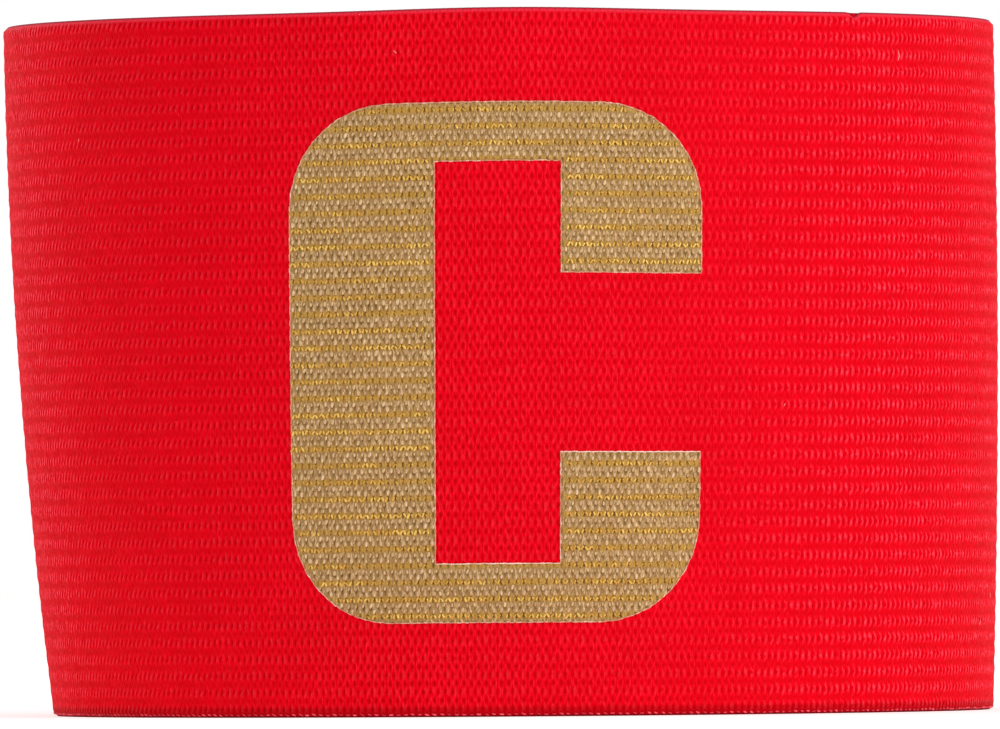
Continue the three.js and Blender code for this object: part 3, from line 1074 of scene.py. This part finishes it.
@dataclass
class Letter:
    """The block letter that is woven into the front, with its own ground, yarns and outline, in metres."""

    cloth: Cloth
    height: float = 0.055
    width: float = 0.0447
    stem: float = 0.016
    bar: float = 0.0062
    hook_width: float = 0.0153
    hook_drop: float = 0.018
    corner: float = 0.0111
    shift: float = -0.0015
    corner_points: int = 10
    slab: float = 0.0004
    slab_sink: float = 0.00044
    slab_cell: float = 0.0016
    slab_rows_to_rib: int = 4
    net_proud: float = 0.00008
    # The heights of the rows of yarn as shares of a rib
    float_rows: tuple[float, float] = (0.3, 0.64)
    thread_rows: tuple[float] = (0.97,)
    float_lean: float = -0.1
    thread_lean: float = math.radians(28)
    # The gold thread's long runs, along the strip and up it, and how far it dips between them
    run_length: float = 0.0023
    run_height: float = 0.0031
    run_shift: float = 2.7
    run_rows: float = 0.00149
    dip: float = 0.00003
    thread_shade: float = -0.1
    floats: Bars = Bars(0.00033, 0.00056, 0.0003, seed=200, lean_spread=math.radians(16), size_spread=0.26,
                        place_spread=0.00006, sides=6, rings=4)
    threads: Bars = Bars(0.0003, 0.00066, 0.00022, seed=210, place_spread=0.00007)
    edge_turns: Bars = Bars(0.00015, 0.00064, 0.00016, seed=220, lean_spread=math.radians(6),
                            place_spread=0.00003)
    # How dark the outline's yarn is, and how much lighter it is under the hooks and along the lower bar
    edge_shade: float = -0.35
    edge_light: float = 0.9
    level_within: float = 0.1
    beige_yarn: YarnFinish = YarnFinish(
        "texturised_polyester_beige", gap="#805E30", shade="#A07A48", base="#C09A66", light="#DCB886",
        fleck="#E2C294", valley="#B88C3C", sheen_tint="#FFE8C0", specular=0.1, patch_mm=1.3, tone_spread=0.2,
        streak_mm=0.45, streak_gain=2.4, oval_least=0.2)
    float_yarn: YarnFinish = YarnFinish(
        "texturised_polyester_pale_beige", gap="#A8845C", shade="#B08A62", base="#CEAA80", light="#E8CAA0",
        fleck="#F4D8B4", sheen_tint="#FFE8C0", specular=0.15, oval=0.0, patch_mm=1.6)
    gold_thread: YarnFinish = YarnFinish(
        "metallic_gold_thread", gap="#B88830", shade="#BC8E3C", base="#DAA646", light="#F2CC6C",
        fleck="#FFDC80", roughness=0.45, metallic=0.3, sheen=0.0, filament_mm=0.2, streak_mm=0.5,
        specular=0.4, oval=0.0, tone_spread=0.2)
    gold_ground: GroundFinish = GroundFinish("covered_rubber_gold", "#6E4A1C", "#8E6830")
    edge_yarn: YarnFinish = YarnFinish(
        "outline_thread", gap="#D89478", shade="#D08C70", base="#E8B49C", light="#FFE2D4", fleck="#FFF0E8",
        sheen_tint="#FFFFFF", oval=0.0, tone_spread=0.3)

    def edges(self) -> tuple[float, float, float, float, float, float]:
        """Gives the letter's edges, measured from its middle: side, top, stem, bar, hook and hook end."""
        return (self.width / 2, self.height / 2, self.stem - self.width / 2, self.height / 2 - self.bar,
                self.width / 2 - self.hook_width, self.height / 2 - self.hook_drop)

    def covers(self, along: np.ndarray, up: np.ndarray) -> np.ndarray:
        """Tells which flat points lie in the letter.

        Args:
            along: Places along the strip.
            up: Heights on it.

        Returns:
            True for each point inside.
        """
        side, top, stem, bar, hook, hook_end = self.edges()
        across = along - self.shift
        rise = np.abs(up - self.cloth.loop.width / 2)
        over_side = np.maximum(np.abs(across) - side + self.corner, 0)
        over_top = np.maximum(rise - top + self.corner, 0)
        rounded = over_side ** 2 + over_top ** 2 < self.corner ** 2
        opening = (across > stem) & (rise < bar) & ~((across > hook) & (rise > hook_end))
        return (np.abs(across) < side) & (rise < top) & rounded & ~opening

    def outline(self) -> np.ndarray:
        """Draws the letter's outline, anticlockwise from its upper hook.

        Returns:
            Rows of (along, up).
        """
        side, top, stem, bar, hook, hook_end = self.edges()
        points = [(side, hook_end)]
        for quarter, (sign_x, sign_y) in enumerate(((1, 1), (-1, 1), (-1, -1), (1, -1))):
            for turn in np.linspace(0, math.pi / 2, self.corner_points) + quarter * math.pi / 2:
                points.append((sign_x * (side - self.corner) + self.corner * math.cos(turn),
                               sign_y * (top - self.corner) + self.corner * math.sin(turn)))
        points += [(side, -hook_end), (hook, -hook_end), (hook, -bar), (stem, -bar), (stem, bar), (hook, bar),
                   (hook, hook_end)]
        return np.array(points) + (self.shift, self.cloth.loop.width / 2)

    def snap(self, points: np.ndarray) -> np.ndarray:
        """Moves points on to the letter's outline.

        Args:
            points: Rows of (along, up).

        Returns:
            The nearest place on the outline to each.
        """
        if not len(points):
            return points
        outline = self.outline()
        runs = np.roll(outline, -1, axis=0) - outline
        shares = np.clip(((points[:, None] - outline) * runs).sum(2) / (runs ** 2).sum(1), 0, 1)
        feet = outline + shares[..., None] * runs
        nearest = np.linalg.norm(feet - points[:, None], axis=2).argmin(1)
        return feet[np.arange(len(points)), nearest]

    def ground(self) -> bpy.types.Object:
        """Builds the letter's own ground, a thin ribbed slab that stands for the letter's solid.

        Returns:
            The piece.
        """
        loop, weave = self.cloth.loop, self.cloth.weave
        points = self.outline()
        shape = bmesh.new()
        shape.faces.new([shape.verts.new((*point, -self.slab_sink)) for point in points])
        low, high = points.min(0), points.max(0)
        row = weave.pitch(loop) / self.slab_rows_to_rib
        columns = np.arange(low[0] + self.slab_cell, high[0], self.slab_cell)
        cuts = [((column, 0, 0), (1, 0, 0)) for column in columns]
        levels = range(math.ceil(low[1] / row), math.ceil(high[1] / row))
        cuts += [((0, level * row, 0), (0, 1, 0)) for level in levels]
        for place, direction in cuts:
            everything = [*shape.verts, *shape.edges, *shape.faces]
            bmesh.ops.bisect_plane(shape, geom=everything, plane_co=place, plane_no=direction, dist=1e-7)
        bmesh.ops.triangulate(shape, faces=shape.faces)
        back = bmesh.ops.extrude_face_region(shape, geom=shape.faces[:])["geom"]
        moved = [v for v in back if isinstance(v, bmesh.types.BMVert)]
        bmesh.ops.translate(shape, verts=moved, vec=(0, 0, -self.slab))
        bmesh.ops.recalc_face_normals(shape, faces=shape.faces)
        mesh = bpy.data.meshes.new("letter_ground")
        shape.to_mesh(mesh)
        shape.free()
        mesh.materials.append(self.gold_ground.material(self.cloth))
        return self.cloth.dress(mesh, GOLD_SLOT)

    def rows(self, shares: tuple[float, ...], beside: float, above: float) -> np.ndarray:
        """Places the letter's yarns, a row of them at each share of every rib.

        Args:
            shares: Each row's height as a share of the rib.
            beside: How far a yarn reaches to each side.
            above: How far it reaches up and down.

        Returns:
            Rows of (along, up, proud).
        """
        weave = self.cloth.weave
        reach = math.ceil((self.width / 2 + abs(self.shift)) / weave.column)
        rib, row, column = (grid.ravel() for grid in np.meshgrid(
            np.arange(weave.ribs), np.arange(len(shares)), np.arange(-reach, reach), indexing="ij"))
        along = (column + 0.5 * (row % 2)) * weave.column
        up = (rib + np.take(shares, row)) * weave.pitch(self.cloth.loop)
        ends = ((beside, above), (beside, -above), (-beside, above), (-beside, -above))
        inside = np.all([self.covers(along + a, up + b) for a, b in ends], axis=0)
        return np.column_stack([along, up, along * 0 + self.net_proud])[inside]

    def face(self) -> None:
        """Covers the letter's ground with its own net of beige yarn."""
        loop, weave = self.cloth.loop, self.cloth.weave
        beside = self.width / 2 + abs(self.shift) + weave.column
        above = self.height / 2 + weave.column
        sheet = weave.sheet(loop, (weave.strand_at(-beside), weave.strand_at(beside)),
                            (loop.width / 2 - above, loop.width / 2 + above), self.covers, self.snap)
        yarn = self.beige_yarn.material(self.cloth)
        self.cloth.raise_net("weave_letter", GOLD_SLOT, sheet, yarn, self.net_proud)

    def yarns(self) -> None:
        """Weaves the letter: two rows of pale floats and a zigzag of gold thread to each rib."""
        places = self.rows(self.float_rows, self.floats.width / 2, self.floats.length / 3)
        self.cloth.lay_bars("letter_floats", GOLD_SLOT, places, self.floats, self.float_yarn,
                            lean=np.full(len(places), self.float_lean))
        column = self.cloth.weave.column
        places = self.rows(self.thread_rows, column / 3, self.threads.length / 3)
        pairs = np.vstack([places - (column / 4, 0, 0), places + (column / 4, 0, 0)])
        lean = np.repeat((-self.thread_lean, self.thread_lean), len(places))
        # The metal shows in long runs and dips under the beige between them
        bend = self.run_shift * np.sin(pairs[:, 1] / self.run_height)
        runs = np.sin(pairs[:, 0] / self.run_length + bend) + np.sin(pairs[:, 1] / self.run_rows)
        pairs[:, 2] -= self.dip * (1 - runs)
        self.cloth.lay_bars("letter_gold_threads", GOLD_SLOT, pairs, self.threads, self.gold_thread,
                            lean=lean, shade=runs / 3 + self.thread_shade)

    def edging(self) -> None:
        """Lays the short pale floats along the letter's edge, where the two yarns change places."""
        outline = self.outline()
        step = self.cloth.weave.column / 2
        places, leans = [], []
        for here, there in zip(outline, np.roll(outline, -1, axis=0)):
            run = there - here
            count = max(1, round(float(np.linalg.norm(run)) / step))
            places += [here + run * (k + 0.5) / count for k in range(count)]
            leans += [math.atan2(-run[0], run[1])] * count
        flat = np.column_stack([np.array(places), np.full(len(places), self.net_proud)])
        level = np.abs(np.abs(leans) - math.pi / 2) < self.level_within
        rise = flat[:, 1] - self.cloth.loop.width / 2
        lit = level & (rise < 0) & (rise > (self.bar - self.height) / 2)
        self.cloth.lay_bars("letter_edge", GOLD_SLOT, flat, self.edge_turns, self.edge_yarn,
                            lean=np.array(leans), shade=lit * self.edge_light + self.edge_shade)


@dataclass
class Sewing:
    """The selvedges' edge yarns and the thread that closes the lap at the back, in metres."""

    cloth: Cloth
    foot_turns: Bars = Bars(0.0002, 0.0005, 0.0002, seed=300, size_spread=0.15, sides=6, rings=4)
    foot_turn_up: float = 0.00028
    foot_turn_lean: float = math.radians(80)
    fibres: Bars = Bars(0.00014, 0.0011, 0.00014, seed=320, lean_spread=0.1, size_spread=0.1,
                        place_spread=0.0, sides=6, rings=6)
    fibre_proud: float = 0.00012
    # Each loose fibre's place along the strip and up it, its lean in radians and its length as a share
    fibre_places: tuple[tuple[float, float, float, float], ...] = (
        (0.0478, 0.0707, 0.25, 0.6), (0.0478, 0.0702, -0.3, 0.6), (0.0684, 0.0095, -0.5, 0.5),
        (0.0735, 0.0124, 0.2, 0.6), (-0.0539, 0.0621, 0.0, 0.3), (-0.012, 0.0705, 0.8, 0.4),
        (0.031, 0.033, -0.6, 0.4))
    stitches: Bars = Bars(0.0004, 0.0026, 0.0004, seed=310, lean_spread=math.radians(3), size_spread=0.03,
                          sides=8, rings=6)
    stitch_step: float = 0.0015
    stitch_lean: float = math.radians(38)
    stitch_proud: float = 0.0001
    seams: tuple[float, ...] = (0.0028, 0.0108)
    edge_red: YarnFinish = YarnFinish(
        "selvedge_yarn", gap="#C01028", shade="#C8182C", base="#E83048", light="#F85868", fleck="#FF7080",
        specular=0.2, oval=0.0, tone_spread=0.3)
    fibre: YarnFinish = YarnFinish(
        "loose_filament", gap="#FF8080", shade="#FF7074", base="#FF8C90", light="#FFA8A8", fleck="#FFC0C0",
        oval=0.0)
    seam_red: YarnFinish = YarnFinish(
        "spun_sewing_thread_red", gap="#9C0010", shade="#A80010", base="#D0081C", light="#F04450",
        fleck="#FF6874", roughness=0.55, specular=0.35, streak_mm=0.25, oval=0.0)

    def selvedges(self) -> None:
        """Lays the small turns of yarn that show along the foot, one to each column."""
        loop = self.cloth.loop
        along = np.arange(loop.ends[0] + loop.lap, loop.ends[1], self.cloth.weave.column)
        places = np.column_stack([along, along * 0 + self.foot_turn_up, along * 0])
        self.cloth.lay_bars("foot_turns", ELASTIC_SLOT, places, self.foot_turns, self.edge_red,
                            lean=along * 0 + self.foot_turn_lean)

    def strays(self) -> None:
        """Lets a few loose filaments stand out of the weave."""
        along, up, lean, length = np.array(self.fibre_places).T
        places = np.column_stack([along, up, along * 0 + self.fibre_proud])
        size = np.column_stack([np.sqrt(length), length, np.sqrt(length)])
        self.cloth.lay_bars("loose_fibres", ELASTIC_SLOT, places, self.fibres, self.fibre, lean=lean,
                            bar_size=size)

    def lap(self) -> None:
        """Sews the lap with two zigzag lines, which show on its outer face and inside the loop."""
        loop = self.cloth.loop
        number = np.arange(int(loop.width / self.stitch_step) - 1)
        up = (number + 1) * self.stitch_step
        lean = np.where(number % 2, self.stitch_lean, -self.stitch_lean)
        rows = []
        for seam in self.seams:
            outside = (loop.ends[1] - seam, self.stitch_proud)
            inside = (loop.ends[1] - seam - loop.turn, -loop.wall - self.stitch_proud)
            for along, proud in (outside, inside):
                rows.append(np.column_stack([up * 0 + along, up, up * 0 + proud]))
        self.cloth.lay_bars("lap_stitches", ELASTIC_SLOT, np.vstack(rows), self.stitches, self.seam_red,
                            laid=False, lean=np.tile(lean, len(rows)))


@dataclass(frozen=True)
class Lamp:
    """A soft square light: where it hangs and the length of its side, in metres, and its power in watts."""

    name: str
    place: tuple[float, float, float]
    side: float
    power: float


@dataclass
class Studio:
    """The plain pale floor, the soft light and the camera, placed from the photograph's own frame."""

    frame_width_px: float = 1000.0
    distance: float = 1.95
    metres_per_px: float = 0.00010854
    elevation: float = math.radians(-0.6)
    roll: float = math.radians(-0.43)
    loop_centre_px: tuple[float, float] = (502.0, 367.0)
    frame_centre_px: tuple[float, float] = (500.0, 364.5)
    sensor_mm: float = 36.0
    floor_radius: float = 7.0
    floor_grey: str = "#FAFAF9"
    floor_glow: float = 0.48
    floor_roughness: float = 0.9
    wall_white: str = "#FFFFFF"
    ceiling: float = 0.5
    lit_height: float = 0.04
    lamps: tuple[Lamp, ...] = (
        Lamp("key", (1.65, -1.6, 1.0), 1.0, 21.0),
        Lamp("rim", (-1.4, 1.5, 0.8), 0.7, 8.0))

    def floor(self) -> None:
        """Lays the floor."""
        disc = bmesh.new()
        bmesh.ops.create_circle(disc, cap_ends=True, segments=96, radius=self.floor_radius)
        mesh = bpy.data.meshes.new("floor")
        disc.to_mesh(mesh)
        disc.free()
        material, shader = start_material("matt_white_paper")
        grey = linear(self.floor_grey)
        feed(shader, {"Base Color": grey, "Roughness": self.floor_roughness, "Emission Color": grey,
                      "Emission Strength": self.floor_glow})
        mesh.materials.append(material)
        floor = bpy.data.objects.new("floor", mesh)
        bpy.context.scene.collection.objects.link(floor)
        floor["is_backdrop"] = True

    def surroundings(self) -> None:
        """Sets a white wall all round, under a ceiling that is less bright."""
        world = bpy.data.worlds.new("pale_studio")
        world.use_nodes = True
        node = partial(add_node, world.node_tree)
        way = node("ShaderNodeSeparateXYZ", (node("ShaderNodeTexCoord").outputs["Generated"],))
        feed(world.node_tree.nodes["Background"], {
            "Strength": node(SHARE, (way.outputs["Z"], 0.1, 0.5, 1.0, self.ceiling)),
            "Color": linear(self.wall_white)})
        bpy.context.scene.world = world
        bpy.context.scene.view_settings.view_transform = "Standard"

    def light(self, lamp: Lamp) -> None:
        """Adds a light that faces the armband.

        Args:
            lamp: What the light is like.
        """
        data = bpy.data.lights.new(lamp.name, "AREA")
        data.size = lamp.side
        data.energy = lamp.power
        holder = bpy.data.objects.new(lamp.name, data)
        holder.location = lamp.place
        away = Vector(lamp.place) - Vector((0, 0, self.lit_height))
        holder.rotation_euler = away.to_track_quat("Z", "Y").to_euler()
        bpy.context.scene.collection.objects.link(holder)

    def camera(self) -> None:
        """Points the camera as the photograph was taken: far off, nearly level and turned a hair."""
        data = bpy.data.cameras.new("camera")
        data.sensor_width = self.sensor_mm
        data.lens = data.sensor_width * self.distance / (self.metres_per_px * self.frame_width_px)
        data.clip_end = 50.0
        eye = bpy.data.objects.new("camera", data)
        low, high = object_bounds()
        right_px = self.frame_centre_px[0] - self.loop_centre_px[0]
        down_px = self.frame_centre_px[1] - self.loop_centre_px[1]
        aim = (low + high) / 2 + Vector((right_px, 0, -down_px)) * self.metres_per_px
        back = Vector((0, -math.cos(self.elevation), math.sin(self.elevation)))
        eye.location = aim + back * self.distance
        turn = back.to_track_quat("Z", "Y").to_matrix() @ Euler((0, 0, self.roll)).to_matrix()
        eye.rotation_euler = turn.to_euler()
        bpy.context.scene.collection.objects.link(eye)
        bpy.context.scene.camera = eye

    def build(self) -> None:
        """Sets up the camera, the floor and what surrounds it, and the lights."""
        self.camera()
        self.floor()
        self.surroundings()
        for lamp in self.lamps:
            self.light(lamp)


def centred_loop() -> Loop:
    """Finds where the part's frame stands, from the box of the elastic band's solid.

    Returns:
        The tube, moved so that its breadth and depth share the solid's middle.
    """
    low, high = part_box("elastic_band")
    loop = Loop()
    middle, half = loop.lines(np.linspace(0, loop.width, 50))
    across = ((middle - half).min() + (middle + half).max()) / 2
    deep = float(loop.climb(np.array([loop.ends[1]]))[0]) / 2
    return Loop(centre=((low.x + high.x) / 2 - across, (low.y + high.y) / 2 - deep))


def main() -> None:
    """Builds the armband in order: the frame, the studio, the band, the letter, the sewing."""
    logging.basicConfig(level=logging.INFO, format="%(name)s: %(message)s")
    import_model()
    Studio().build()
    cloth = Cloth(centred_loop())
    band = ElasticBand(cloth)
    letter = Letter(cloth)
    sewing = Sewing(cloth)
    ground = band.ground()
    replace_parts(ground, "elastic_band")
    band.face(letter)
    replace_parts(letter.ground(), "captain_letter")
    letter.face()
    letter.yarns()
    letter.edging()
    sewing.selvedges()
    sewing.strays()
    sewing.lap()
    flat = (cloth.loop.width, cloth.loop.ends[1] - cloth.loop.ends[0])
    yarns = [piece for piece in cloth.made if piece is not ground]
    total = sum(len(face.vertices) - 2 for piece in cloth.made for face in piece.data.polygons)
    log.info("%d pieces, %d triangles", len(cloth.made), total)


if __name__ == "__main__":
    main()
